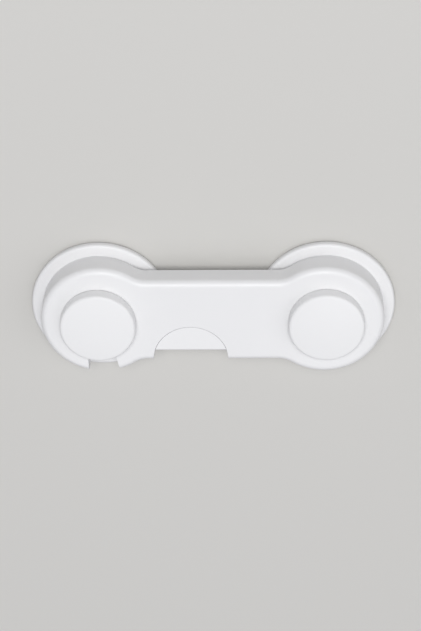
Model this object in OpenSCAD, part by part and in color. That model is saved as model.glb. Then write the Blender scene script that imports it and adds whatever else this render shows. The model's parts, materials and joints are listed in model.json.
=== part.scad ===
// Cabinet safety lock: two stick-on bases and a swinging arm that hooks over a catch stud.
// Millimetres. The pads' undersides lie on Z = 0 and +Z points from them to the caps.
// +X runs from the catch to the pivot and +Y points up. X = 0 is midway between the bases.

/* [Bases] */
// Distance between the catch stud and the pivot post
base_spacing = 72; // [66:1:84]
// Diameter of each base disc
base_d = 44; // [42:1:52]
// Thickness of each base disc
base_t = 2; // [1.6:0.1:3]
// Rounding of each base's upper rim
base_edge_r = 0.9; // [0.4:0.1:1.2]
// Diameter of the raised seat on each base
seat_d = 36.4; // [30:0.2:37]
// Height of each seat above its disc
seat_h = 2.1; // [1.5:0.1:3]
// Diameter of each adhesive pad
pad_d = 40; // [32:1:41]
// Thickness of each adhesive pad
pad_t = 1; // [0.6:0.1:2]

/* [Arm] */
// Gap between the seats and the back of the arm
arm_gap = 0.3; // [0.2:0.1:0.6]
// Depth of the arm from its back to its face
arm_depth = 7.9; // [7.6:0.1:10]
// Radius of the arm's round ends
arm_end_r = 18.9; // [17.8:0.1:20.4]
// How far the round ends are centred inside the stud and the pivot
end_inset = 0.6; // [0:0.1:1]
// Height of the bar between the ends
bar_h = 28.8; // [27:0.2:31]
// Radius of the hollow neck between each end and the bar
neck_r = 8; // [5:0.5:12]
// Rounding of the arm's front edge
arm_edge_r = 2; // [0.8:0.1:2.4]
// Thickness of the arm's side walls
arm_wall = 1.8; // [1.4:0.1:2.2]
// Thickness of the arm's face
face_t = 1.7; // [1.2:0.1:2]
// Thickness of the ribs inside the arm's ends
rib_t = 1.2; // [0.8:0.1:1.6]
// Lean of the ribs from the arm's length
rib_lean = 55; // [45:1:65]
// Thickness of the back cover
cover_t = 1.2; // [0.9:0.1:1.5]
// Gap around the back cover
cover_gap = 0.15; // [0.05:0.05:0.3]

/* [Pivot] */
// Diameter of the pivot post
post_d = 11; // [9:0.5:12]
// Running clearance between the post and the arm's hub, on the radius
post_fit = 0.06; // [0.02:0.01:0.1]
// Wall of the arm's hub around the post
hub_wall = 2.5; // [1.8:0.1:3]
// Thickness of the slip washer under the hub
washer_t = 0.5; // [0.3:0.1:1]
// Height of the washer above the seat that it is let into
washer_stand = 0.1; // [0:0.05:0.2]
// Gap between the washer and its recess
washer_gap = 0.15; // [0.05:0.05:0.3]
// Gap between the arm's face and the flanges over it
flange_gap = 0.2; // [0.1:0.05:0.4]
// Diameter of the flange under each cap
flange_d = 20; // [17:0.5:21]
// Thickness of the flange under each cap
flange_t = 1.7; // [1.4:0.1:2.2]

/* [Catch] */
// Diameter of the collar that the slot hooks behind
collar_d = 7.1; // [6.6:0.1:7.6]
// Length of the collar below its flange
collar_h = 3.7; // [3.2:0.1:4]
// Chamfer round the collar's lower rim
collar_chamfer = 0.6; // [0.2:0.1:0.9]
// Diameter of the stem below the collar
stem_d = 4.2; // [4:0.1:4.6]
// Clearance between the collar and the slot on the side of the pivot
slot_gap_in = 0.3; // [0.2:0.1:0.6]
// Clearance between the collar and the slot on the far side
slot_gap_out = 1.2; // [0.6:0.1:1.4]
// Distance from the stud's centre to the straight wall at the slot's mouth
slot_mouth = 3.8; // [3.4:0.1:4.4]
// Extra radius at the closed end of the slot
slot_end_relief = 0.2; // [0.1:0.1:0.5]
// Wall around the slot inside the arm
slot_wall = 1.4; // [1:0.1:1.8]

/* [Caps] */
// Diameter of the domed caps at their rim
cap_d = 23.9; // [22.6:0.1:26]
// Height of the caps' side, up to its rounding
cap_h = 3.4; // [3:0.1:4.4]
// How much the caps' side draws in up to its rounding, on the radius
cap_taper = 0.05; // [0:0.05:0.3]
// Rounding between the caps' side and crown
cap_edge_r = 0.7; // [0.5:0.1:1.2]
// Rise of the caps' crown above that rounding
cap_crown = 0.8; // [0.5:0.1:1.6]
// Room under the caps' crown, above the flange
cap_room = 1.4; // [0.8:0.1:1.6]
// Clearance between the caps and their flanges, on the radius
cap_fit = 0.1; // [0.05:0.05:0.2]
// Radius of the snap bead inside each cap
snap_r = 0.3; // [0.2:0.05:0.4]

/* [Release lever] */
// Distance of the half-moon from the middle of the arm, toward the catch
moon_offset = 7; // [5:0.1:8]
// Radius of the half-moon cut
moon_r = 11.9; // [11:0.1:13]
// Height of the half-moon's centre above the arm's lower edge
moon_rise = 0.6; // [0:0.1:1.5]
// Wall at each side of the finger notch under the tab
notch_wall = 1.4; // [1:0.1:1.8]
// Gap around the press tab
tab_gap = 0.1; // [0.1:0.05:0.4]
// Height of the tab's lower edge above the arm's lower edge
tab_rise = 3.8; // [3:0.1:5.5]
// Rounding of the tab's lower edge
tab_edge_r = 0.7; // [0.3:0.1:1]
// Thickness of the lever's plate
lever_t = 1.4; // [1.1:0.1:1.6]
// Gap between the lever and the inside of the arm's face
lever_gap = 0.3; // [0.2:0.05:0.4]
// Height of the hinge pin above the middle of the arm
hinge_y = 8.5; // [7.5:0.1:9]
// Length of the lever's hinge barrel
barrel_len = 20; // [14:1:21]
// Wall of the hinge barrel around the pin
barrel_wall = 1; // [0.8:0.1:1.2]
// Diameter of the hinge pin
pin_d = 2; // [1.6:0.1:2.2]
// Running clearance between the pin and the barrel, on the radius
pin_fit = 0.05; // [0.02:0.01:0.1]
// Thickness of the lugs that hold the pin
lug_t = 2; // [1.5:0.1:2.5]
// Gap between the barrel and each lug
lug_gap = 0.2; // [0.1:0.05:0.4]
// How far the pawl reaches into the slot
pawl_reach = 1.1; // [0.9:0.1:1.3]
// Length of the pawl along the slot
pawl_len = 4.6; // [3.6:0.1:5.2]
// Height of the pawl where it meets the collar
pawl_h = 2.4; // [1.8:0.1:2.5]
// Free play between the pawl and the collar
pawl_play = 0.8; // [0.5:0.1:1.2]
// Drop of the ramp that pushes the pawl aside when the arm closes
pawl_ramp = 1.1; // [0.6:0.1:1.2]
// Gap around the pawl where it passes the slot's wall
window_gap = 0.5; // [0.3:0.1:0.8]

/* [Spring] */
// Outer diameter of the return spring
spring_d = 5; // [4:0.1:6]
// Diameter of the spring's wire
wire_d = 0.4; // [0.3:0.05:0.5]
// Number of turns of the spring
spring_turns = 3; // [2:1:3]
// Gap between the spring and the lever
spring_gap = 0.1; // [0.05:0.05:0.2]
// Height of the spigot that centres the spring
spigot_h = 0.9; // [0.6:0.1:1]

/* [Fasteners] */
// Shank diameter of the stud and retainer screws
screw_d = 2.4; // [2:0.1:2.6]
// Length of the stud and retainer screws under their heads
screw_len = 9.5; // [7:0.5:11]
// Head diameter of the stud and retainer screws
screw_head_d = 5; // [4:0.2:5.6]
// Head height of the stud and retainer screws
screw_head_h = 1.4; // [1:0.1:1.4]
// Depth of the heads' recess in the flanges
head_sink = 0.8; // [0.6:0.1:1]
// Shank diameter of the cover screws
cover_screw_d = 2; // [1.6:0.1:2.2]
// Length of the cover screws
cover_screw_len = 5; // [4:0.5:5.5]
// Head diameter of the cover screws
cover_head_d = 3.8; // [3.2:0.1:4.2]
// Diameter of the bosses for the cover screws
boss_d = 5; // [4.4:0.1:5.4]
// Clearance between each screw and its hole, on the radius
screw_fit = 0.05; // [0.02:0.01:0.1]

/* [Hidden] */
$fn = 96;

white = [0.93, 0.93, 0.92];
foam = [0.80, 0.80, 0.78];
nylon = [0.88, 0.87, 0.82];
steel = [0.68, 0.69, 0.71];

// Overshoot of a cut past the face it opens
over = 1;

catch_x = -base_spacing / 2;
pivot_x = base_spacing / 2;
end_x = base_spacing / 2 - end_inset;

// Heights from the pads' undersides outward
plate_z = pad_t + base_t;
seat_z = plate_z + seat_h;
washer_top = seat_z + washer_stand;
washer_z = washer_top - washer_t;
arm_back = seat_z + arm_gap;
arm_face = arm_back + arm_depth;
arm_inner = arm_face - face_t;
cover_in = arm_back + cover_t;
flange_z = arm_face + flange_gap;
flange_top = flange_z + flange_t;
collar_z = flange_z - collar_h;
snap_z = flange_z + flange_t / 2;
head_seat = flange_top - head_sink;

bar_half = bar_h / 2;
hub_r = post_d / 2 + post_fit + hub_wall;
pocket_r = flange_d / 2 + cap_fit;
// How far the rounded edge of each cap stands over its crown where the two meet
crown_sink = 0.005;

// Centre of each neck's hollow from the middle of its end, and the angle where the hollow starts
neck_y = bar_half + neck_r;
neck_x = sqrt(pow(arm_end_r + neck_r, 2) - neck_y * neck_y);
neck_angle = atan2(neck_y, neck_x);
// Depth to which each hollow bites into the curves that it meets
neck_sink = 0.02;
// How far the bar stops short of the middle of each end
bar_lap = 2;

// Slot edges, as distances from the stud's path round the pivot
collar_r = collar_d / 2;
slot_in = collar_r + slot_gap_in;
slot_out = collar_r + slot_gap_out;

// Half-moon and press tab
moon_x = -moon_offset;
moon_y = moon_rise - bar_half;
tab_y = tab_rise - bar_half;
tab_r = moon_r - tab_gap;

// Release lever
lever_top = arm_inner - lever_gap;
lever_bottom = lever_top - lever_t;
barrel_r = pin_d / 2 + barrel_wall;
hinge_z = lever_top - barrel_r;
lug_r = barrel_r + lug_gap;
lug_end = barrel_len / 2 + lug_gap + lug_t;
pawl_tip_x = catch_x + slot_in - pawl_reach;
pawl_side = slot_in - pawl_reach;
pawl_top_y = -sqrt(max(collar_r * collar_r - pawl_side * pawl_side, 0)) - pawl_play;
pawl_low_y = pawl_top_y - pawl_len;

// Cover screws, in the clear pockets of the arm
boss_r = boss_d / 2;
end_inner = arm_end_r - end_inset - arm_wall;
mid_boss_x = (moon_x + moon_r + pivot_x - hub_r) / 2;
mid_boss_y = bar_half - arm_wall - boss_r - window_gap;
screw_spots = [
    [catch_x - (slot_out + slot_wall + end_inner) / 2, 0],
    [pivot_x + (hub_r + end_inner) / 2, 0],
    [mid_boss_x, mid_boss_y],
    [mid_boss_x, -mid_boss_y]
];

// Solid of revolution with a rounded upper edge
module rounded_disc(r, z0, z1, edge) {
    rotate_extrude()
        edge_profile(r, z0, z1, edge);
}

// Upright drilling from z0 to z1
module drill(r, z0, z1) {
    translate([0, 0, z0])
        cylinder(r = r, h = z1 - z0);
}

// Profile of a wall at radius r with a rounded upper edge
module edge_profile(r, z0, z1, edge) {
    translate([0, z0])
        square([r, z1 - edge - z0]);
    translate([0, z0])
        square([r - edge, z1 - z0]);
    if (edge > 0)
        translate([r - edge, z1 - edge])
            intersection() {
                circle(edge);
                square(edge);
            }
}

// Straight bar between the arm's round ends
module form_bar(inset, z0, z1, edge) {
    translate([bar_lap - end_x, 0, 0])
        rotate([90, 0, 90])
            linear_extrude(2 * (end_x - bar_lap))
                for (low = [0, 1])
                    mirror([low, 0])
                        edge_profile(bar_half - inset, z0, z1, edge);
}

// Hollow neck that blends an end into the bar
module form_neck(inset, z0, z1, edge) {
    end_r = arm_end_r - inset;
    hollow_r = neck_r + inset + neck_sink;
    difference() {
        translate([0, 0, z0])
            linear_extrude(z1 - z0)
                polygon([
                    [-over * cos(neck_angle), -over * sin(neck_angle)],
                    [end_r * cos(neck_angle), end_r * sin(neck_angle)],
                    [neck_x, bar_half - inset],
                    [neck_x, -over]
                ]);
        translate([neck_x, neck_y, 0])
            rotate_extrude() {
                translate([0, z0 - over])
                    square([hollow_r, z1 - z0 + 2 * over]);
                if (edge > 0)
                    difference() {
                        translate([0, z1 - edge])
                            square([hollow_r + edge, edge + over]);
                        translate([hollow_r + edge, z1 - edge])
                            circle(edge);
                    }
            }
    }
}

// Dog-bone form of the arm, drawn in by inset, with an optional rounded front edge
module arm_form(inset, z0, z1, edge) {
    form_bar(inset, z0, z1, edge);
    for (side = [0, 1])
        mirror([side, 0, 0])
            translate([-end_x, 0, 0]) {
                rounded_disc(arm_end_r - inset, z0, z1, edge);
                for (low = [0, 1])
                    mirror([0, low, 0])
                        form_neck(inset, z0, z1, edge);
            }
}

// Plan of the catch slot, which follows the stud's path round the pivot and ends in a straight mouth,
// widened by grow
module slot_plan(grow) {
    middle = (slot_out - slot_in) / 2;
    translate([catch_x - middle, 0])
        circle((slot_in + slot_out) / 2 + slot_end_relief + grow);
    intersection() {
        translate([pivot_x, 0])
            difference() {
                circle(base_spacing + slot_out + grow);
                circle(base_spacing - slot_in - grow);
            }
        translate([catch_x - arm_end_r, -2 * arm_end_r])
            square([2 * arm_end_r, 2 * arm_end_r]);
    }
    translate([catch_x - slot_mouth - grow, -2 * arm_end_r])
        square([slot_mouth, 2 * arm_end_r - cap_d / 2]);
}

// Upright cut or wall in the plan of the catch slot
module slot_block(grow, z0, z1) {
    translate([0, 0, z0])
        linear_extrude(z1 - z0)
            slot_plan(grow);
}

// Pin along X at the lever's hinge, from x0 to x1
module hinge_rod(r, x0, x1) {
    translate([x0, hinge_y, hinge_z])
        rotate([0, 90, 0])
            cylinder(r = r, h = x1 - x0);
}

// Lug that hangs from the arm's face and holds one end of the hinge pin
module hinge_lug(side) {
    x0 = moon_x + (side > 0 ? barrel_len / 2 + lug_gap : -lug_end);
    hinge_rod(lug_r, x0, x0 + lug_t);
    translate([x0, hinge_y - lug_r, hinge_z])
        cube([lug_t, 2 * lug_r, arm_inner + face_t / 2 - hinge_z]);
}

// Walls that close the arm's inside at both sides of the finger notch
module notch_walls() {
    intersection() {
        translate([moon_x, moon_y, 0])
            drill(moon_r + notch_wall, cover_in, arm_face);
        translate([moon_x - 2 * moon_r, -2 * bar_half, cover_in])
            cube([4 * moon_r, 2 * bar_half + tab_y - window_gap, arm_depth]);
    }
}

// Ribs that lean out from the middle of an end, at each of the given angles
module end_ribs(x, leans) {
    for (lean = leans)
        translate([x, 0, cover_in])
            rotate(lean)
                translate([0, -rib_t / 2, 0])
                    cube([arm_end_r, rib_t, arm_depth]);
}

// Base disc with its rounded rim and a raised seat
module base_disc() {
    rounded_disc(base_d / 2, pad_t, plate_z, base_edge_r);
    drill(seat_d / 2, pad_t, seat_z);
}

// Flange under a cap, grooved for the cap's bead, with the screw's recess and hole still to be cut
module flange() {
    rotate_extrude()
        difference() {
            translate([0, flange_z])
                square([flange_d / 2, flange_t]);
            translate([pocket_r, snap_z])
                circle(snap_r + cap_fit);
        }
}

// Hollow of a cap, with the snap bead left standing
module cap_pocket() {
    rotate_extrude()
        difference() {
            translate([0, flange_z - over])
                square([pocket_r, over + flange_t + cap_room]);
            translate([pocket_r, snap_z])
                circle(snap_r);
        }
}

// Recess and hole for the screw that holds a flange
module flange_screw_cut(z0) {
    drill(screw_head_d / 2 + screw_fit, head_seat, flange_top + over);
    drill(screw_d / 2 + screw_fit, z0, flange_top + over);
}

// Hole for the same screw in a stem or post
module stem_hole() {
    drill(screw_d / 2 + screw_fit, head_seat - screw_len - screw_fit, flange_z + over);
}

// Pan-head screw that holds a flange
module flange_screw() {
    rounded_disc(screw_head_d / 2, head_seat, head_seat + screw_head_h, screw_head_h / 2);
    drill(screw_d / 2, head_seat - screw_len, head_seat + screw_head_h / 2);
}

// Domed cap with a tapered side that snaps over a flange, its rounded edge blending into the crown
module domed_cap() {
    side_x = cap_d / 2 - cap_taper;
    side_z = flange_z + cap_h;
    edge_x = side_x - cap_edge_r;
    rise = cap_edge_r + cap_crown;
    crown_r = (edge_x * edge_x + rise * rise - cap_edge_r * cap_edge_r) / (2 * cap_crown);
    crown_z = side_z + rise - crown_r - crown_sink;
    touch_x = edge_x * crown_r / (crown_r - cap_edge_r);
    difference() {
        rotate_extrude() {
            polygon([
                [0, flange_z],
                [cap_d / 2, flange_z],
                [side_x, side_z],
                [0, side_z]
            ]);
            intersection() {
                translate([0, crown_z])
                    circle(crown_r, $fn = 360);
                translate([0, flange_z])
                    square([touch_x, cap_h + 2 * rise]);
            }
            translate([edge_x, side_z])
                intersection() {
                    circle(cap_edge_r);
                    square(2 * cap_edge_r);
                }
        }
        cap_pocket();
    }
}

module catch_base() {
    color(white)
        translate([catch_x, 0, 0])
            difference() {
                union() {
                    base_disc();
                    drill(stem_d / 2, pad_t, collar_z);
                }
                stem_hole();
            }
}

module catch_pad() {
    color(foam)
        translate([catch_x, 0, 0])
            drill(pad_d / 2, 0, pad_t);
}

module catch_stud() {
    color(white)
        translate([catch_x, 0, 0])
            difference() {
                union() {
                    flange();
                    translate([0, 0, collar_z])
                        cylinder(r1 = collar_r - collar_chamfer, r2 = collar_r, h = collar_chamfer);
                    drill(collar_r, collar_z + collar_chamfer, flange_top);
                }
                flange_screw_cut(collar_z - over);
            }
}

module catch_screw() {
    color(steel)
        translate([catch_x, 0, 0])
            flange_screw();
}

module catch_cap() {
    color(white)
        translate([catch_x, 0, 0])
            domed_cap();
}

module pivot_base() {
    color(white)
        translate([pivot_x, 0, 0])
            difference() {
                union() {
                    difference() {
                        base_disc();
                        drill(hub_r + washer_gap, washer_z, seat_z + over);
                    }
                    drill(post_d / 2, pad_t, flange_z);
                }
                stem_hole();
            }
}

module pivot_pad() {
    color(foam)
        translate([pivot_x, 0, 0])
            drill(pad_d / 2, 0, pad_t);
}

module pivot_retainer() {
    color(white)
        translate([pivot_x, 0, 0])
            difference() {
                flange();
                flange_screw_cut(flange_z - over);
            }
}

module pivot_screw() {
    color(steel)
        translate([pivot_x, 0, 0])
            flange_screw();
}

module pivot_cap() {
    color(white)
        translate([pivot_x, 0, 0])
            domed_cap();
}

module pivot_washer() {
    color(nylon)
        translate([pivot_x, 0, 0])
            difference() {
                drill(hub_r, washer_z, washer_top);
                drill(post_d / 2 + post_fit, plate_z, arm_back);
            }
}

// Space inside the arm, with its slot wall, hub, ribs, bosses and lugs left standing
module arm_hollow() {
    difference() {
        arm_form(arm_wall, arm_back - over, arm_inner, 0);
        slot_block(slot_wall, arm_back - 2 * over, arm_face);
        translate([pivot_x, 0, 0])
            drill(hub_r, arm_back - 2 * over, arm_face);
        for (spot = screw_spots)
            translate(spot)
                drill(boss_r, cover_in, arm_face);
        for (side = [-1, 1])
            hinge_lug(side);
        end_ribs(catch_x, [rib_lean, 180 - rib_lean, 180 + rib_lean]);
        end_ribs(pivot_x, [rib_lean, 180 - rib_lean, 180 + rib_lean, -rib_lean]);
        notch_walls();
    }
}

module arm_shell() {
    color(white)
        difference() {
            arm_form(0, arm_back, arm_face, arm_edge_r);
            arm_hollow();
            slot_block(0, arm_back - over, arm_face + over);
            translate([moon_x, moon_y, 0])
                drill(moon_r, arm_back - over, arm_face + over);
            translate([pivot_x, 0, 0])
                drill(post_d / 2 + post_fit, arm_back - over, arm_face + over);
            for (spot = screw_spots)
                translate(spot)
                    drill(cover_screw_d / 2 + screw_fit, arm_back, arm_inner);
            hinge_rod(pin_d / 2, moon_x - lug_end, moon_x + lug_end);
            translate([pawl_tip_x, pawl_low_y - window_gap, cover_in])
                cube([
                    pawl_reach + slot_wall + window_gap,
                    pawl_len + 2 * window_gap,
                    arm_inner - cover_in
                ]);
        }
}

module arm_back_cover() {
    color(white) {
        difference() {
            arm_form(arm_wall + cover_gap, arm_back, cover_in, 0);
            slot_block(slot_wall + cover_gap, arm_back - over, cover_in + over);
            translate([moon_x - moon_r, -bar_half, arm_back - over])
                cube([2 * moon_r, tab_rise, cover_t + 2 * over]);
            translate([pivot_x, 0, 0])
                drill(hub_r + cover_gap, arm_back - over, cover_in + over);
            for (spot = screw_spots)
                translate(spot) {
                    drill(cover_screw_d / 2 + screw_fit, arm_back - over, cover_in + over);
                    translate([0, 0, arm_back])
                        countersink(screw_fit);
                }
        }
        translate([moon_x, 0, 0])
            drill(spring_d / 2 - wire_d - 2 * spring_gap, arm_back + cover_t / 2, cover_in + spigot_h);
    }
}

// Cone of a cover screw's head, widened by grow
module countersink(grow) {
    cylinder(r1 = cover_head_d / 2 + grow, r2 = cover_screw_d / 2 + grow, h = cover_t);
}

module cover_screws() {
    color(steel)
        for (spot = screw_spots)
            translate([spot.x, spot.y, arm_back]) {
                countersink(0);
                cylinder(d = cover_screw_d, h = cover_screw_len);
            }
}

// Plan of the lever's plate: wide under the tab, narrower at the hinge barrel
module lever_plan() {
    wide_top = hinge_y - lug_r - window_gap;
    translate([moon_x - tab_r, tab_y])
        square([2 * tab_r, wide_top - tab_y]);
    translate([moon_x - barrel_len / 2, tab_y])
        square([barrel_len, hinge_y - tab_y]);
}

// Half-moon press tab with a rounded lower edge
module press_tab() {
    intersection() {
        translate([moon_x, moon_y, 0])
            drill(tab_r, lever_bottom, arm_face);
        translate([moon_x - tab_r, 0, 0])
            rotate([90, 0, 90])
                linear_extrude(2 * tab_r) {
                    translate([tab_y, lever_bottom])
                        square([bar_half, arm_face - tab_edge_r - lever_bottom]);
                    translate([tab_y + tab_edge_r, lever_bottom])
                        square([bar_half, arm_face - lever_bottom]);
                    translate([tab_y + tab_edge_r, arm_face - tab_edge_r])
                        circle(tab_edge_r);
                }
    }
}

// Arm of the lever with the ramped pawl at its tip
module pawl() {
    land = pawl_len - pawl_ramp * 3;
    translate([pawl_tip_x, 0, 0])
        rotate([90, 0, 90])
            linear_extrude(moon_x - tab_r - pawl_tip_x + over)
                polygon([
                    [pawl_top_y, lever_top - pawl_h],
                    [pawl_top_y, lever_top],
                    [pawl_top_y - land, lever_top],
                    [pawl_low_y, lever_top - pawl_ramp],
                    [pawl_low_y, lever_bottom - (pawl_h - lever_t) / 4]
                ]);
}

module release_lever() {
    color(white)
        difference() {
            union() {
                translate([0, 0, lever_bottom])
                    linear_extrude(lever_t)
                        lever_plan();
                hinge_rod(barrel_r, moon_x - barrel_len / 2, moon_x + barrel_len / 2);
                press_tab();
                pawl();
            }
            hinge_rod(pin_d / 2 + pin_fit, moon_x - barrel_len, moon_x + barrel_len);
        }
}

module lever_pin() {
    color(steel)
        hinge_rod(pin_d / 2, moon_x - lug_end, moon_x + lug_end);
}

// Rings of the spring's wire, each a closed loop of points round the helix
wire_sides = 6;
rings_per_turn = 16;
spring_rings = spring_turns * rings_per_turn;
spring_r = (spring_d - wire_d) / 2;
spring_low = cover_in + wire_d / 2 + spring_gap;
spring_rise = lever_bottom - spring_gap - wire_d / 2 - spring_low;

function ring_centre(ring) =
    let (turn = 360 * ring / rings_per_turn)
    [spring_r * cos(turn), spring_r * sin(turn), spring_low + spring_rise * ring / spring_rings];

// Least gap between points of the wire that lie half a turn or more apart
half_turn = rings_per_turn / 2;
turn_gap = min([
    for (a = [0 : spring_rings - half_turn])
        for (b = [a + half_turn : spring_rings])
            norm(ring_centre(a) - ring_centre(b)) - wire_d
]);
echo(spring_turn_gap = turn_gap);

function wire_point(ring, corner) =
    let (
        turn = 360 * ring / rings_per_turn,
        lean = 360 * (corner + 0.5) / wire_sides,
        r = spring_r + wire_d / 2 * cos(lean)
    )
    [r * cos(turn), r * sin(turn), spring_low + spring_rise * ring / spring_rings + wire_d / 2 * sin(lean)];

module lever_spring() {
    points = [
        for (ring = [0 : spring_rings])
            for (corner = [0 : wire_sides - 1])
                wire_point(ring, corner)
    ];
    side_faces = [
        for (ring = [0 : spring_rings - 1])
            for (corner = [0 : wire_sides - 1])
                let (
                    a = ring * wire_sides + corner,
                    b = ring * wire_sides + (corner + 1) % wire_sides
                )
                each [[a, b + wire_sides, b], [a, a + wire_sides, b + wire_sides]]
    ];
    last = spring_rings * wire_sides;
    end_faces = [
        for (corner = [1 : wire_sides - 2])
            each [[0, corner, corner + 1], [last, last + corner + 1, last + corner]]
    ];
    color(steel)
        translate([moon_x, 0, 0])
            polyhedron(points, concat(side_faces, end_faces));
}

catch_base();
catch_pad();
catch_stud();
catch_screw();
catch_cap();
pivot_base();
pivot_pad();
pivot_retainer();
pivot_screw();
pivot_cap();
pivot_washer();
arm_shell();
arm_back_cover();
cover_screws();
release_lever();
lever_pin();
lever_spring();
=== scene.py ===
"""Cabinet safety lock: finishes, foam pads, return spring, cover screws, light and camera.

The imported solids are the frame. Everything here is in metres, in the same frame: the pads lie
on Z = 0, +X runs from the catch to the pivot and +Y points up.
"""

import json
import math

import bmesh
import bpy
from bpy.props import FloatProperty, FloatVectorProperty, IntProperty, PointerProperty
from mathutils import Matrix, Vector, noise

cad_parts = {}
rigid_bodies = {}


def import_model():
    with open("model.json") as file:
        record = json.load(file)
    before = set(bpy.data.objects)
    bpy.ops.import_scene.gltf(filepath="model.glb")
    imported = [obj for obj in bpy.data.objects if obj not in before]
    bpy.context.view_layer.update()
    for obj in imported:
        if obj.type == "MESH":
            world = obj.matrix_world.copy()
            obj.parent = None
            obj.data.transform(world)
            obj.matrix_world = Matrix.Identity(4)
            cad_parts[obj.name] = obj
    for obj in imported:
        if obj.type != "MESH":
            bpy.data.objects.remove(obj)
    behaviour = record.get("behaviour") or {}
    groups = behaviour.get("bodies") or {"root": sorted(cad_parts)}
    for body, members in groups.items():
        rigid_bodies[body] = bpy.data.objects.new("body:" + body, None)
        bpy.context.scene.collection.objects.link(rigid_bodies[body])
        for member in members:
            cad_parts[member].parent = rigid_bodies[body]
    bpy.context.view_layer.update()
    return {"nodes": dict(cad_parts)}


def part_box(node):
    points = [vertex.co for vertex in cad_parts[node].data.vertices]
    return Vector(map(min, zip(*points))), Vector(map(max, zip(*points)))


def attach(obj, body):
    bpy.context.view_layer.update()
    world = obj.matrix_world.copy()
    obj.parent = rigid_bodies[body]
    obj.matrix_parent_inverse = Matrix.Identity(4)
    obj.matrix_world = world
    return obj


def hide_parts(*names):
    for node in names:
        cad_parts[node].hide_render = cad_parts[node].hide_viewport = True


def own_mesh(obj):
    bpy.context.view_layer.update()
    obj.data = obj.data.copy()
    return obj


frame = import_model()

bl_info = {
    "name": "Cabinet Safety Lock",
    "version": (1, 0, 0),
    "blender": (4, 5, 0),
    "location": "3D View > Sidebar > Safety Lock",
    "description": "Dresses the packed cabinet safety lock and sets up its stage",
    "category": "Object",
}

# Vertices closer than this are one corner of a solid
WELD_DISTANCE = 0.00001
# Turn from one cover screw to the next, so that no two crosses line up
SCREW_TURN = math.radians(37)
# Patterns of the finishes, in cells to the metre
MELT_FLOW_SCALE = 55.0
HANDLED_SCALE = 240.0
MOTTLE_SCALE = 300.0
DULL_PATCH_SCALE = 900.0
CUT_EDGE_SCALE = 1400.0
# Part of a noise's range that holds most of its values
NOISE_LOW = 0.3
NOISE_HIGH = 0.7
# Shares of the handled patches and the melt's flow in the plastic's gloss
HANDLED_SHARE = 0.6
FLOW_SHARE = 0.4
# Darkest tones, as shares of the colour; the first is painted shade in the foam's cell pits, the
# others are the foam's mottle and the steel's dull patches
CELL_SHADE = 0.78
MOTTLE_SHADE = 0.92
DULL_STEEL_TONE = 0.82
# Surface values that are the same all over a piece
PLASTIC_IOR = 1.5
PIN_ROUGHNESS = 0.22
STEEL_ROUGHNESS = 0.3
FOAM_ROUGHNESS = 0.85
FLOOR_ROUGHNESS = 0.6
# Depth of the steel's lines and the foam's cells, in depths of the plastic's grain
STEEL_LINE_DEPTH = 0.25
FOAM_CELL_DEPTH = 4
# Angles above which an edge of a new mesh stays sharp
PAD_CREASE = math.radians(40)
SPRING_CREASE = math.radians(50)
SCREW_CREASE = math.radians(30)
FLAT_CREASE = math.radians(10)
# Half the side of the floor
FLOOR_HALF = 3.0
# Sensor width in millimetres, and the camera's near and far limits
SENSOR_WIDTH = 36
CLIP_START = 0.01
CLIP_END = 20


# Settings that a user would change


class LockFinish(bpy.types.PropertyGroup):
    """Colours and surface sizes of the lock's materials"""

    shell_colour: FloatVectorProperty(
        name="Shell colour",
        description="Moulded white of the arm's shell and back cover",
        subtype="COLOR",
        size=3,
        min=0,
        max=1,
        default=(0.832, 0.83, 0.829),
    )
    lever_colour: FloatVectorProperty(
        name="Lever colour",
        description="Moulded white of the release lever and its tab",
        subtype="COLOR",
        size=3,
        min=0,
        max=1,
        default=(0.853, 0.851, 0.848),
    )
    # The caps' colour is the moulded white plus a slight lift above the shell's white, and that
    # lift is painted light on the caps
    cap_colour_with_painted_light: FloatVectorProperty(
        name="Cap colour",
        description="Moulded white of the two caps",
        subtype="COLOR",
        size=3,
        min=0,
        max=1,
        default=(0.855, 0.853, 0.849),
    )
    # The bases' colour is the moulded white plus a slight lift, and that lift is painted light on
    # the discs and posts
    base_colour_with_painted_light: FloatVectorProperty(
        name="Base colour",
        description="Moulded white of the base discs and their posts",
        subtype="COLOR",
        size=3,
        min=0,
        max=1,
        default=(0.838, 0.836, 0.834),
    )
    washer_colour: FloatVectorProperty(
        name="Washer colour",
        description="Natural nylon of the slip washer",
        subtype="COLOR",
        size=3,
        min=0,
        max=1,
        default=(0.72, 0.70, 0.62),
    )
    foam_colour: FloatVectorProperty(
        name="Foam colour",
        description="Closed-cell foam of the adhesive pads",
        subtype="COLOR",
        size=3,
        min=0,
        max=1,
        default=(0.30, 0.30, 0.29),
    )
    steel_colour: FloatVectorProperty(
        name="Steel colour",
        description="Plated steel of the screws, pin and spring",
        subtype="COLOR",
        size=3,
        min=0,
        max=1,
        default=(0.60, 0.61, 0.63),
    )
    plastic_roughness: FloatProperty(
        name="Plastic roughness",
        description="Middle roughness of the satin plastic",
        subtype="FACTOR",
        min=0,
        max=1,
        default=0.42,
    )
    grain_size: FloatProperty(
        name="Grain size",
        description="Width of one grain of the moulded texture",
        unit="LENGTH",
        min=0.0001,
        default=0.0004,
    )
    grain_depth: FloatProperty(
        name="Grain depth",
        description="Depth of the moulded texture",
        unit="LENGTH",
        min=0,
        default=0.000008,
    )
    edge_radius: FloatProperty(
        name="Edge radius",
        description="Small rounding that the shading gives to sharp moulded edges",
        unit="LENGTH",
        min=0,
        default=0.0002,
    )
    cap_edge_radius: FloatProperty(
        name="Cap edge radius",
        description="Softness that the shading adds to the rounded edge of the caps",
        unit="LENGTH",
        min=0,
        default=0.001,
    )


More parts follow.
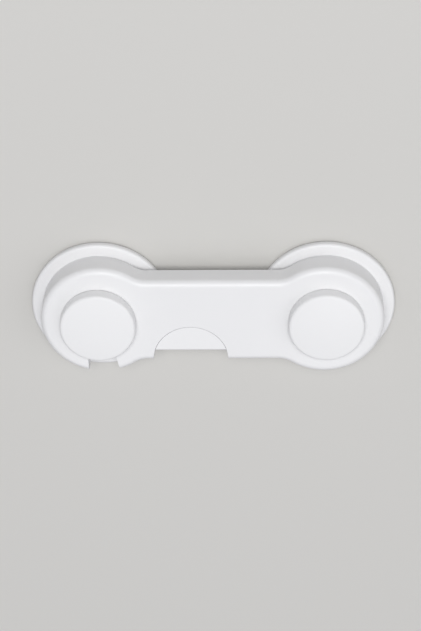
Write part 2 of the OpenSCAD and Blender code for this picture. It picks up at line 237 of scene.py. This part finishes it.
class LockStage(bpy.types.PropertyGroup):
    """Floor, light and camera"""

    floor_colour: FloatVectorProperty(
        name="Floor colour",
        description="Pale floor that the pads rest on",
        subtype="COLOR",
        size=3,
        min=0,
        max=1,
        default=(0.622, 0.612, 0.583),
    )
    sky_strength: FloatProperty(
        name="Sky strength",
        description="Even light from all round",
        min=0,
        default=0.158,
    )
    sky_colour: FloatVectorProperty(
        name="Sky colour",
        description="Cool tint of the light from all round",
        subtype="COLOR",
        size=3,
        min=0,
        default=(0.94, 0.97, 1.14),
    )
    key_strength: FloatProperty(
        name="Key power",
        description="Power of the soft lamp over the face",
        unit="POWER",
        min=0,
        default=21.1,
    )
    key_lean: FloatProperty(
        name="Key lean",
        description="Lean of the key lamp from straight above towards the camera's side",
        subtype="ANGLE",
        default=math.radians(25),
    )
    pivot_lamp_strength: FloatProperty(
        name="Pivot lamp power",
        description="Power of the soft lamp on the pivot's side",
        unit="POWER",
        min=0,
        default=8.85,
    )
    catch_lamp_strength: FloatProperty(
        name="Catch lamp power",
        description="Power of the soft lamp on the catch's side",
        unit="POWER",
        min=0,
        default=4.27,
    )
    side_lean: FloatProperty(
        name="Side lean",
        description="Lean of the two side lamps from straight above",
        subtype="ANGLE",
        default=math.radians(40),
    )
    low_lamp_strength: FloatProperty(
        name="Low lamp power",
        description="Power of the soft lamp on the slot's side",
        unit="POWER",
        min=0,
        default=3.76,
    )
    low_lean: FloatProperty(
        name="Low lean",
        description="Lean of the low lamp from straight above, away from the camera's side",
        subtype="ANGLE",
        default=math.radians(55),
    )
    lamp_distance: FloatProperty(
        name="Lamp distance",
        description="From the lock to the middle of each lamp",
        unit="LENGTH",
        default=1.8,
    )
    key_size: FloatProperty(
        name="Key size",
        description="Diameter of the key lamp",
        unit="LENGTH",
        default=1.0,
    )
    fill_size: FloatProperty(
        name="Fill size",
        description="Diameter of each of the three weaker lamps",
        unit="LENGTH",
        default=2.0,
    )
    camera_distance: FloatProperty(
        name="Camera distance",
        description="From the aim on the floor to the lens",
        unit="LENGTH",
        default=0.65,
    )
    camera_pitch: FloatProperty(
        name="Camera pitch",
        description="Angle between the view and the floor's normal",
        subtype="ANGLE",
        default=math.radians(31.2),
    )
    camera_yaw: FloatProperty(
        name="Camera yaw",
        description="Turn of the camera towards the pivot",
        subtype="ANGLE",
        default=math.radians(2.02),
    )
    camera_roll: FloatProperty(
        name="Camera roll",
        description="Lean of the picture",
        subtype="ANGLE",
        default=math.radians(-1.23),
    )
    camera_aim: FloatVectorProperty(
        name="Camera aim",
        description="Point of the floor in the middle of the picture",
        subtype="TRANSLATION",
        size=2,
        default=(-0.00096, -0.00566),
    )
    focal_length: FloatProperty(
        name="Focal length",
        description="Lens in millimetres on a sensor of 36 mm",
        unit="CAMERA",
        default=115.0,
    )


class LockDetail(bpy.types.PropertyGroup):
    """Sizes of the pieces that are modelled here"""

    pad_bulge: FloatProperty(
        name="Pad bulge",
        description="How far the pressed foam swells past its top and bottom edges",
        unit="LENGTH",
        default=0.0003,
    )
    wire_diameter: FloatProperty(
        name="Wire diameter",
        description="Round wire of the return spring",
        unit="LENGTH",
        default=0.0004,
    )
    spring_turns: FloatProperty(
        name="Spring turns",
        description="Turns of the return spring, its closed ends included",
        default=4.0,
    )
    shank_diameter: FloatProperty(
        name="Shank diameter",
        description="Diameter of a cover screw's shank",
        unit="LENGTH",
        default=0.002,
    )
    head_height: FloatProperty(
        name="Head height",
        description="Height of a cover screw's countersunk head",
        unit="LENGTH",
        default=0.0012,
    )
    head_rim: FloatProperty(
        name="Head rim",
        description="Blunt rim round a cover screw's head",
        unit="LENGTH",
        default=0.00008,
    )
    recess_width: FloatProperty(
        name="Recess width",
        description="Width of each slot of the cross recess in a cover screw",
        unit="LENGTH",
        default=0.00055,
    )
    recess_length: FloatProperty(
        name="Recess length",
        description="Length of the cross recess across the head",
        unit="LENGTH",
        default=0.0022,
    )
    recess_depth: FloatProperty(
        name="Recess depth",
        description="Depth of the cross recess",
        unit="LENGTH",
        default=0.0009,
    )
    round_steps: IntProperty(
        name="Round steps",
        description="Steps round a turned piece",
        min=24,
        default=96,
    )


# Node helpers


def add_node(tree, kind, label, **values):
    """A shader node with its label and plain settings."""
    node = tree.nodes.new(kind)
    node.label = label
    for name, value in values.items():
        setattr(node, name, value)
    return node


def new_group(name, inputs, outputs):
    """An empty shader node group with its named sockets, and its input and output nodes."""
    group = bpy.data.node_groups.new(name, "ShaderNodeTree")
    for socket, kind, default in inputs:
        made = group.interface.new_socket(socket, in_out="INPUT", socket_type=kind)
        made.default_value = default
    for socket, kind in outputs:
        group.interface.new_socket(socket, in_out="OUTPUT", socket_type=kind)
    enter = add_node(group, "NodeGroupInput", "Inputs")
    leave = add_node(group, "NodeGroupOutput", "Outputs")
    return group, enter, leave


def feed(tree, socket, value):
    """Sets an input to a number, or links it to another node's output."""
    if isinstance(value, (int, float)):
        socket.default_value = value
    else:
        tree.links.new(value, socket)


def math_node(tree, operation, first, second, label):
    """A Math node on two outputs or numbers, and its result."""
    node = add_node(tree, "ShaderNodeMath", label, operation=operation)
    feed(tree, node.inputs[0], first)
    feed(tree, node.inputs[1], second)
    return node.outputs[0]


def noise_node(tree, vector, scale, detail, label):
    """A Noise Texture in object space, and its factor."""
    node = add_node(tree, "ShaderNodeTexNoise", label)
    node.inputs["Detail"].default_value = detail
    tree.links.new(vector, node.inputs["Vector"])
    feed(tree, node.inputs["Scale"], scale)
    return node.outputs["Fac"]


def spread(tree, factor, low, high, label):
    """A Map Range from the middle part of a noise to low and high, and its result."""
    node = add_node(tree, "ShaderNodeMapRange", label)
    node.inputs["From Min"].default_value = NOISE_LOW
    node.inputs["From Max"].default_value = NOISE_HIGH
    feed(tree, node.inputs["To Min"], low)
    feed(tree, node.inputs["To Max"], high)
    tree.links.new(factor, node.inputs["Value"])
    return node.outputs["Result"]


def object_space(tree):
    """The piece's own coordinates, in metres."""
    return add_node(tree, "ShaderNodeTexCoord", "Object space").outputs["Object"]


def gloss_limits(group, enter):
    """The glossiest and the dullest roughness round the middle one of a group's inputs."""
    middle = enter.outputs["Roughness"]
    reach = enter.outputs["Roughness Spread"]
    low = math_node(group, "SUBTRACT", middle, reach, "Glossier")
    high = math_node(group, "ADD", middle, reach, "Duller")
    return low, high


# Shared effects


def moulded_grain_group():
    """Fine texture of an injection mould: its height, its gloss and a faint change of tone."""
    name = "Moulded Grain"
    if name in bpy.data.node_groups:
        return bpy.data.node_groups[name]
    group, enter, leave = new_group(
        name,
        [
            ("Grain Scale", "NodeSocketFloat", 2500.0),
            ("Roughness", "NodeSocketFloat", 0.42),
            ("Roughness Spread", "NodeSocketFloat", 0.05),
            ("Tone Spread", "NodeSocketFloat", 0.01),
        ],
        [
            ("Height", "NodeSocketFloat"),
            ("Roughness", "NodeSocketFloat"),
            ("Tone", "NodeSocketFloat"),
        ],
    )
    place = object_space(group)
    fine = noise_node(group, place, enter.outputs["Grain Scale"], 2.0, "Grain")
    flow = noise_node(group, place, MELT_FLOW_SCALE, 3.0, "Flow of the melt")
    touch = noise_node(group, place, HANDLED_SCALE, 4.0, "Handled patches")
    patches = math_node(group, "MULTIPLY", touch, HANDLED_SHARE, "Patches")
    streaks = math_node(group, "MULTIPLY", flow, FLOW_SHARE, "Flow")
    mixed = math_node(group, "ADD", patches, streaks, "Gloss pattern")
    low, high = gloss_limits(group, enter)
    gloss = spread(group, mixed, low, high, "Gloss")
    dark = math_node(group, "SUBTRACT", 1.0, enter.outputs["Tone Spread"], "Darker tone")
    tone = spread(group, flow, dark, 1.0, "Tone")
    group.links.new(fine, leave.inputs["Height"])
    group.links.new(gloss, leave.inputs["Roughness"])
    group.links.new(tone, leave.inputs["Tone"])
    return group


def foam_cells_group():
    """Closed cells of a cut foam: their height, and painted shade in their pits together with a
    random mottle.
    """
    name = "Foam Cells"
    if name in bpy.data.node_groups:
        return bpy.data.node_groups[name]
    group, enter, leave = new_group(
        name,
        [("Cell Scale", "NodeSocketFloat", 3500.0)],
        [("Height", "NodeSocketFloat"), ("Shade", "NodeSocketFloat")],
    )
    place = object_space(group)
    cells = add_node(group, "ShaderNodeTexVoronoi", "Cells")
    group.links.new(place, cells.inputs["Vector"])
    group.links.new(enter.outputs["Cell Scale"], cells.inputs["Scale"])
    # Painted shade: the foam is darker in the pits of its cells
    pit_shade = spread(group, cells.outputs["Distance"], CELL_SHADE, 1.0, "Painted shade in cell pits")
    mottle = noise_node(group, place, MOTTLE_SCALE, 3.0, "Mottle")
    patchy = spread(group, mottle, MOTTLE_SHADE, 1.0, "Mottle shade")
    shade = math_node(group, "MULTIPLY", pit_shade, patchy, "Shade")
    group.links.new(cells.outputs["Distance"], leave.inputs["Height"])
    group.links.new(shade, leave.inputs["Shade"])
    return group


def drawn_lines_group():
    """Fine lines that drawing and turning leave on plated steel, with its dull patches."""
    name = "Drawn Lines"
    if name in bpy.data.node_groups:
        return bpy.data.node_groups[name]
    group, enter, leave = new_group(
        name,
        [
            ("Line Scale", "NodeSocketFloat", 9000.0),
            ("Roughness", "NodeSocketFloat", 0.32),
            ("Roughness Spread", "NodeSocketFloat", 0.10),
        ],
        [
            ("Height", "NodeSocketFloat"),
            ("Roughness", "NodeSocketFloat"),
            ("Tone", "NodeSocketFloat"),
        ],
    )
    place = object_space(group)
    lines = noise_node(group, place, enter.outputs["Line Scale"], 1.0, "Lines")
    patches = noise_node(group, place, DULL_PATCH_SCALE, 3.0, "Dull patches")
    low, high = gloss_limits(group, enter)
    gloss = spread(group, patches, low, high, "Gloss")
    tone = spread(group, patches, 1.0, DULL_STEEL_TONE, "Tone")
    group.links.new(lines, leave.inputs["Height"])
    group.links.new(gloss, leave.inputs["Roughness"])
    group.links.new(tone, leave.inputs["Tone"])
    return group


# Materials


def start_material(name, effect):
    """A material with one shared effect, and its node tree, its shader and the effect's node."""
    material = bpy.data.materials.new(name)
    material.use_nodes = True
    tree = material.node_tree
    shader = tree.nodes["Principled BSDF"]
    shared = add_node(tree, "ShaderNodeGroup", effect.name, node_tree=effect)
    return material, tree, shader, shared


def tint(tree, shader, colour, factor):
    """Base colour of a material, darkened where factor is under one."""
    scale = add_node(tree, "ShaderNodeVectorMath", "Tint", operation="SCALE")
    scale.inputs[0].default_value = colour
    tree.links.new(factor, scale.inputs["Scale"])
    tree.links.new(scale.outputs[0], shader.inputs["Base Color"])


def bump(tree, shader, height, depth, under=None):
    """Bump of a given depth on the shader's normal, over another normal if there is one."""
    node = add_node(tree, "ShaderNodeBump", "Surface")
    node.inputs["Strength"].default_value = 1.0
    node.inputs["Distance"].default_value = depth
    tree.links.new(height, node.inputs["Height"])
    if under is not None:
        tree.links.new(under, node.inputs["Normal"])
    tree.links.new(node.outputs["Normal"], shader.inputs["Normal"])


def plastic_material(name, colour, finish, edge_radius):
    """Satin moulded plastic with a fine grain and edges broken to a given radius."""
    material, tree, shader, grain = start_material(name, moulded_grain_group())
    grain.inputs["Grain Scale"].default_value = 1 / finish.grain_size
    grain.inputs["Roughness"].default_value = finish.plastic_roughness
    shader.inputs["IOR"].default_value = PLASTIC_IOR
    tint(tree, shader, colour, grain.outputs["Tone"])
    tree.links.new(grain.outputs["Roughness"], shader.inputs["Roughness"])
    edge = add_node(tree, "ShaderNodeBevel", "Broken edges", samples=4)
    edge.inputs["Radius"].default_value = edge_radius
    bump(tree, shader, grain.outputs["Height"], finish.grain_depth, edge.outputs["Normal"])
    return material


def steel_material(name, finish, roughness):
    """Plated steel with fine lines."""
    material, tree, shader, lines = start_material(name, drawn_lines_group())
    lines.inputs["Roughness"].default_value = roughness
    shader.inputs["Metallic"].default_value = 1.0
    tint(tree, shader, finish.steel_colour, lines.outputs["Tone"])
    tree.links.new(lines.outputs["Roughness"], shader.inputs["Roughness"])
    bump(tree, shader, lines.outputs["Height"], finish.grain_depth * STEEL_LINE_DEPTH)
    return material


def foam_material(name, finish):
    """Matt closed-cell foam."""
    material, tree, shader, cells = start_material(name, foam_cells_group())
    shader.inputs["Roughness"].default_value = FOAM_ROUGHNESS
    # The foam's colour carries painted shade in its cell pits as well as its mottle
    tint(tree, shader, finish.foam_colour, cells.outputs["Shade"])
    bump(tree, shader, cells.outputs["Height"], finish.grain_depth * FOAM_CELL_DEPTH)
    return material


def dress(names, material):
    """Puts one material on CAD nodes."""
    for name in names:
        mesh = frame["nodes"][name].data
        mesh.materials.clear()
        mesh.materials.append(material)


def add_piece(name, mesh, material, body, node):
    """A new smooth piece that rides on a body and stands for a CAD node."""
    mesh.materials.append(material)
    piece = bpy.data.objects.new(name, mesh)
    bpy.context.scene.collection.objects.link(piece)
    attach(piece, body)
    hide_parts(node)
    return piece


# Meshes


def turned_mesh(profile, steps):
    """A closed solid turned round Z from (radius, height) points that start and end on the axis."""
    shape = bmesh.new()
    rings = []
    for radius, height in profile[1:-1]:
        ring = []
        for step in range(steps):
            angle = 2 * math.pi * step / steps
            point = (radius * math.cos(angle), radius * math.sin(angle), height)
            ring.append(shape.verts.new(point))
        rings.append(ring)
    first = shape.verts.new((0, 0, profile[0][1]))
    last = shape.verts.new((0, 0, profile[-1][1]))
    for step in range(steps):
        after = (step + 1) % steps
        shape.faces.new((first, rings[0][after], rings[0][step]))
        shape.faces.new((last, rings[-1][step], rings[-1][after]))
        for low, high in zip(rings, rings[1:]):
            shape.faces.new((low[step], low[after], high[after], high[step]))
    return shape


def finish_mesh(name, shape, sharp_angle):
    """A mesh from a bmesh, smooth but for edges sharper than sharp_angle."""
    bmesh.ops.recalc_face_normals(shape, faces=shape.faces)
    for face in shape.faces:
        face.smooth = True
    for edge in shape.edges:
        edge.smooth = edge.calc_face_angle(0) < sharp_angle
    mesh = bpy.data.meshes.new(name)
    shape.to_mesh(mesh)
    shape.free()
    return mesh


def solid_boxes(node):
    """Lowest and highest corner of each solid of a CAD node, from the catch to the pivot."""
    shape = bmesh.new()
    shape.from_mesh(frame["nodes"][node].data)
    bmesh.ops.remove_doubles(shape, verts=shape.verts, dist=WELD_DISTANCE)
    unseen = set(shape.verts)
    boxes = []
    for start in shape.verts:
        if start not in unseen:
            continue
        unseen.remove(start)
        queue = [start]
        spots = []
        while queue:
            vertex = queue.pop()
            spots.append(vertex.co.copy())
            for edge in vertex.link_edges:
                other = edge.other_vert(vertex)
                if other in unseen:
                    unseen.remove(other)
                    queue.append(other)
        low = Vector([min(spot[axis] for spot in spots) for axis in range(3)])
        high = Vector([max(spot[axis] for spot in spots) for axis in range(3)])
        boxes.append((low, high))
    shape.free()
    places = 4
    return sorted(boxes, key=lambda box: (round(box[0].x, places), round(box[0].y, places)))


def pad_mesh(name, node, detail):
    """A round foam pad whose cut edge swells between its pressed faces and is a little uneven."""
    low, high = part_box(node)
    centre = (low + high) / 2
    radius = (high.x - low.x) / 2
    thick = high.z - low.z
    middle_r = radius * 0.5
    rim_r = radius * 0.9
    edge_steps = 8
    profile = [(0, low.z), (middle_r, low.z)]
    for step in range(edge_steps + 1):
        share = step / edge_steps
        swell = detail.pad_bulge * (math.sin(math.pi * share) - 1)
        profile.append((radius + swell, low.z + thick * share))
    profile += [(middle_r, high.z), (0, high.z)]
    shape = turned_mesh(profile, detail.round_steps * 2)
    rough = 0.25 * detail.pad_bulge
    for vertex in shape.verts:
        outward = Vector((vertex.co.x, vertex.co.y, 0))
        if outward.length > rim_r and low.z < vertex.co.z < high.z:
            uneven = noise.noise(vertex.co * CUT_EDGE_SCALE)
            vertex.co -= outward.normalized() * rough * abs(uneven)
    shape.transform(Matrix.Translation((centre.x, centre.y, 0)))
    return finish_mesh(name, shape, PAD_CREASE)


def spring_mesh(name, node, detail):
    """A coil of round wire whose end turns close up and lie flat."""
    low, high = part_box(node)
    wire_r = detail.wire_diameter / 2
    coil_r = (high.x - low.x) / 2 - wire_r
    centre = (low + high) / 2
    bottom = low.z + wire_r
    rise = high.z - low.z - detail.wire_diameter
    rings_per_turn = 32
    sides = 12
    count = int(detail.spring_turns * rings_per_turn)
    shape = bmesh.new()
    rings = []
    for step in range(count + 1):
        share = step / count
        angle = 2 * math.pi * detail.spring_turns * share
        eased = share * share * (3 - 2 * share)
        height = bottom + rise * eased
        ring = []
        for side in range(sides):
            lean = 2 * math.pi * side / sides
            reach = coil_r + wire_r * math.cos(lean)
            level = height + wire_r * math.sin(lean)
            point = (reach * math.cos(angle), reach * math.sin(angle), level)
            ring.append(shape.verts.new(point))
        rings.append(ring)
    for near, far in zip(rings, rings[1:]):
        for side in range(sides):
            after = (side + 1) % sides
            shape.faces.new((near[side], near[after], far[after], far[side]))
    shape.faces.new(rings[0])
    shape.faces.new(reversed(rings[-1]))
    shape.transform(Matrix.Translation((centre.x, centre.y, 0)))
    return finish_mesh(name, shape, SPRING_CREASE)


def cross_ring(shape, length, width, height):
    """The twelve corners of a cross, as vertices at one height."""
    ring = []
    for quarter in range(4):
        turn = Matrix.Rotation(quarter * math.pi / 2, 3, "Z")
        for x, y in ((length, -width), (length, width), (width, width)):
            ring.append(shape.verts.new(turn @ Vector((x / 2, y / 2, height))))
    return ring


def cross_cutter(detail, face):
    """A cross-shaped cutter, wide where it enters a head's flat face and narrow at its tip."""
    wide = 1.1 * detail.recess_length
    narrow = 0.55 * detail.recess_length
    overshoot = 0.25 * detail.recess_depth
    shape = bmesh.new()
    mouth = cross_ring(shape, wide, detail.recess_width, face - overshoot)
    tip = cross_ring(shape, narrow, detail.recess_width, face + detail.recess_depth)
    shape.faces.new(mouth)
    shape.faces.new(tip)
    for side in range(len(mouth)):
        after = (side + 1) % len(mouth)
        shape.faces.new((mouth[side], mouth[after], tip[after], tip[side]))
    return finish_mesh("recess_cutter", shape, FLAT_CREASE)


def carve(mesh, cutter):
    """The mesh that is left when a cutter is taken out of it."""
    shown = bpy.context.scene.collection.objects
    body = bpy.data.objects.new("carved", mesh)
    tool = bpy.data.objects.new("cutter", cutter)
    shown.link(body)
    shown.link(tool)
    cut = body.modifiers.new("Recess", "BOOLEAN")
    cut.operation = "DIFFERENCE"
    cut.solver = "EXACT"
    cut.object = tool
    whole = body.evaluated_get(bpy.context.evaluated_depsgraph_get())
    carved = bpy.data.meshes.new_from_object(whole)
    bpy.data.objects.remove(body)
    bpy.data.objects.remove(tool)
    return carved


def screw_mesh(head_r, low, high, detail):
    """One countersunk screw on the Z axis that points up, with a cross recess in its flat head."""
    shank_r = detail.shank_diameter / 2
    point = shank_r / 2
    rim = detail.head_rim
    profile = [
        (0, low),
        (head_r - rim, low),
        (head_r, low + rim),
        (shank_r, low + detail.head_height),
        (shank_r, high - point),
        (point, high),
        (0, high),
    ]
    turned = turned_mesh(profile, detail.round_steps // 2)
    return carve(finish_mesh("screw", turned, SCREW_CREASE), cross_cutter(detail, low))


def screws_mesh(name, node, detail):
    """All the cover screws in their places, each stopped at its own angle."""
    boxes = solid_boxes(node)
    low, high = boxes[0]
    one = screw_mesh((high.x - low.x) / 2, low.z, high.z, detail)
    shape = bmesh.new()
    for index, (low, high) in enumerate(boxes):
        middle = (low + high) / 2
        place = Matrix.Translation((middle.x, middle.y, 0))
        turn = Matrix.Rotation(index * SCREW_TURN, 4, "Z")
        copy = one.copy()
        copy.transform(place @ turn)
        shape.from_mesh(copy)
    return finish_mesh(name, shape, SCREW_CREASE)


# Stage


def make_floor(stage):
    """A wide plain floor at the pads' undersides."""
    shape = bmesh.new()
    corners = []
    for x, y in ((-1, -1), (1, -1), (1, 1), (-1, 1)):
        corners.append(shape.verts.new((x * FLOOR_HALF, y * FLOOR_HALF, 0)))
    shape.faces.new(corners)
    mesh = finish_mesh("floor", shape, FLAT_CREASE)
    material = bpy.data.materials.new("Pale floor")
    material.use_nodes = True
    shader = material.node_tree.nodes["Principled BSDF"]
    shader.inputs["Base Color"].default_value = (*stage.floor_colour, 1)
    shader.inputs["Roughness"].default_value = FLOOR_ROUGHNESS
    mesh.materials.append(material)
    floor = bpy.data.objects.new("floor", mesh)
    bpy.context.scene.collection.objects.link(floor)


def aimed(back, right):
    """The turn of a lamp or camera that looks away from back, with its right side towards right."""
    right = (right - right.dot(back) * back).normalized()
    return Matrix((right, back.cross(right), back)).transposed().to_4x4()


def add_lamp(stage, name, strength, size, side, tilt):
    """A soft round lamp that leans by side towards the pivot and by tilt towards the camera."""
    lamp = bpy.data.lights.new(name, "AREA")
    lamp.shape = "DISK"
    lamp.size = size
    lamp.energy = strength
    back = Vector((math.tan(side), math.tan(tilt), 1)).normalized()
    placed = bpy.data.objects.new(name, lamp)
    place = Matrix.Translation(stage.lamp_distance * back)
    placed.matrix_world = place @ aimed(back, Vector((1, 0, 0)))
    bpy.context.scene.collection.objects.link(placed)


def make_light(stage):
    """An even cool sky, a key lamp over the lock's face and three weaker lamps round it."""
    world = bpy.data.worlds.new("Soft sky")
    world.use_nodes = True
    sky = world.node_tree.nodes["Background"]
    sky.inputs["Color"].default_value = (*stage.sky_colour, 1)
    sky.inputs["Strength"].default_value = stage.sky_strength
    bpy.context.scene.world = world
    fill = stage.fill_size
    add_lamp(stage, "Key lamp", stage.key_strength, stage.key_size, 0, stage.key_lean)
    add_lamp(stage, "Pivot lamp", stage.pivot_lamp_strength, fill, stage.side_lean, 0)
    add_lamp(stage, "Catch lamp", stage.catch_lamp_strength, fill, -stage.side_lean, 0)
    add_lamp(stage, "Low lamp", stage.low_lamp_strength, fill, 0, -stage.low_lean)


def make_camera(stage):
    """The camera, on the +Y side with +Y up in the picture."""
    yaw = stage.camera_yaw
    level = math.cos(stage.camera_pitch)
    back = Vector((math.sin(yaw) * level, math.sin(stage.camera_pitch), math.cos(yaw) * level))
    right = Vector((math.cos(yaw), 0, -math.sin(yaw)))
    turn = aimed(back, right) @ Matrix.Rotation(stage.camera_roll, 4, "Z")
    lens = bpy.data.cameras.new("Camera")
    lens.lens = stage.focal_length
    lens.sensor_width = SENSOR_WIDTH
    lens.clip_start = CLIP_START
    lens.clip_end = CLIP_END
    camera = bpy.data.objects.new("Camera", lens)
    eye = Vector((*stage.camera_aim, 0)) + stage.camera_distance * back
    camera.matrix_world = Matrix.Translation(eye) @ turn
    bpy.context.scene.collection.objects.link(camera)
    bpy.context.scene.camera = camera


# Operators


class LOCK_OT_arm(bpy.types.Operator):
    """Gives the arm's shell and back cover their satin white"""

    bl_idname = "safety_lock.arm"
    bl_label = "Dress Arm"

    def execute(self, context):
        finish = context.scene.lock_finish
        white = plastic_material("Arm plastic", finish.shell_colour, finish, finish.edge_radius)
        dress(["arm_shell", "arm_back_cover"], white)
        return {"FINISHED"}


class LOCK_OT_caps(bpy.types.Operator):
    """Gives the domed caps their satin white"""

    bl_idname = "safety_lock.caps"
    bl_label = "Dress Caps"

    def execute(self, context):
        finish = context.scene.lock_finish
        # The cap colour holds painted light: it is a little lighter than the shell's moulded white
        white = plastic_material("Cap plastic", finish.cap_colour_with_painted_light, finish, finish.cap_edge_radius)
        dress(["catch_cap", "pivot_cap"], white)
        return {"FINISHED"}


class LOCK_OT_bases(bpy.types.Operator):
    """Gives the bases, stud, retainer and washer their plastics"""

    bl_idname = "safety_lock.bases"
    bl_label = "Dress Bases"

    def execute(self, context):
        finish = context.scene.lock_finish
        # The base colour holds painted light: it is a little lighter than the shell's moulded white
        white = plastic_material("Base plastic", finish.base_colour_with_painted_light, finish, finish.edge_radius)
        dress(["catch_base", "pivot_base", "catch_stud", "pivot_retainer"], white)
        nylon = plastic_material("Washer nylon", finish.washer_colour, finish, finish.edge_radius)
        dress(["pivot_washer"], nylon)
        return {"FINISHED"}


class LOCK_OT_pads(bpy.types.Operator):
    """Makes the two foam pads"""

    bl_idname = "safety_lock.pads"
    bl_label = "Make Foam Pads"

    def execute(self, context):
        detail = context.scene.lock_detail
        foam = foam_material("Adhesive foam", context.scene.lock_finish)
        for node in ("catch_pad", "pivot_pad"):
            name = node + "_foam"
            mesh = pad_mesh(name, node, detail)
            pad = add_piece(name, mesh, foam, "bases", node)
        return {"FINISHED"}


class LOCK_OT_lever(bpy.types.Operator):
    """Gives the release lever and its hinge pin their finishes"""

    bl_idname = "safety_lock.lever"
    bl_label = "Dress Lever"

    def execute(self, context):
        finish = context.scene.lock_finish
        white = plastic_material("Lever plastic", finish.lever_colour, finish, finish.edge_radius)
        dress(["release_lever"], white)
        dress(["lever_pin"], steel_material("Pin steel", finish, PIN_ROUGHNESS))
        return {"FINISHED"}


class LOCK_OT_spring(bpy.types.Operator):
    """Makes the lever's return spring, as one fixed piece on the arm"""

    bl_idname = "safety_lock.spring"
    bl_label = "Make Return Spring"

    def execute(self, context):
        node = "lever_spring"
        wire = steel_material("Spring wire", context.scene.lock_finish, STEEL_ROUGHNESS)
        mesh = spring_mesh("return_spring", node, context.scene.lock_detail)
        spring = add_piece("return_spring", mesh, wire, "arm", node)
        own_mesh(spring)
        return {"FINISHED"}


class LOCK_OT_screws(bpy.types.Operator):
    """Gives the hidden screws their plated steel and makes the cover screws with their recesses"""

    bl_idname = "safety_lock.screws"
    bl_label = "Make Screws"

    def execute(self, context):
        steel = steel_material("Screw steel", context.scene.lock_finish, STEEL_ROUGHNESS)
        dress(["catch_screw", "pivot_screw"], steel)
        node = "cover_screws"
        mesh = screws_mesh("cross_head_screws", node, context.scene.lock_detail)
        add_piece("cross_head_screws", mesh, steel, "arm", node)
        return {"FINISHED"}


class LOCK_OT_stage(bpy.types.Operator):
    """Sets the floor, the light and the camera"""

    bl_idname = "safety_lock.stage"
    bl_label = "Set Stage"

    def execute(self, context):
        stage = context.scene.lock_stage
        make_floor(stage)
        make_light(stage)
        make_camera(stage)
        context.scene.view_settings.view_transform = "Standard"
        return {"FINISHED"}


# Sidebar and registration


class LOCK_PT_sidebar(bpy.types.Panel):
    """Lists the lock's settings and steps"""

    bl_idname = "LOCK_PT_sidebar"
    bl_label = "Cabinet Safety Lock"
    bl_space_type = "VIEW_3D"
    bl_region_type = "UI"
    bl_category = "Safety Lock"

    def draw(self, context):
        layout = self.layout
        scene = context.scene
        for settings in (scene.lock_finish, scene.lock_detail, scene.lock_stage):
            column = layout.column(align=True)
            for name in settings.__annotations__:
                column.prop(settings, name)
        for operator in OPERATORS:
            layout.operator(operator.bl_idname)


SETTINGS = (LockFinish, LockDetail, LockStage)
OPERATORS = (
    LOCK_OT_arm,
    LOCK_OT_caps,
    LOCK_OT_bases,
    LOCK_OT_pads,
    LOCK_OT_lever,
    LOCK_OT_spring,
    LOCK_OT_screws,
    LOCK_OT_stage,
)


def register():
    """Registers the settings, operators and sidebar."""
    for made in (*SETTINGS, *OPERATORS, LOCK_PT_sidebar):
        bpy.utils.register_class(made)
    bpy.types.Scene.lock_finish = PointerProperty(type=LockFinish)
    bpy.types.Scene.lock_detail = PointerProperty(type=LockDetail)
    bpy.types.Scene.lock_stage = PointerProperty(type=LockStage)


def unregister():
    """Takes the settings, operators and sidebar away again."""
    del bpy.types.Scene.lock_stage
    del bpy.types.Scene.lock_detail
    del bpy.types.Scene.lock_finish
    for made in reversed((*SETTINGS, *OPERATORS, LOCK_PT_sidebar)):
        bpy.utils.unregister_class(made)


def main():
    """Runs every step in order."""
    register()
    bpy.ops.safety_lock.arm()
    bpy.ops.safety_lock.caps()
    bpy.ops.safety_lock.bases()
    bpy.ops.safety_lock.pads()
    bpy.ops.safety_lock.lever()
    bpy.ops.safety_lock.spring()
    bpy.ops.safety_lock.screws()
    bpy.ops.safety_lock.stage()


if __name__ == "__main__":
    main()
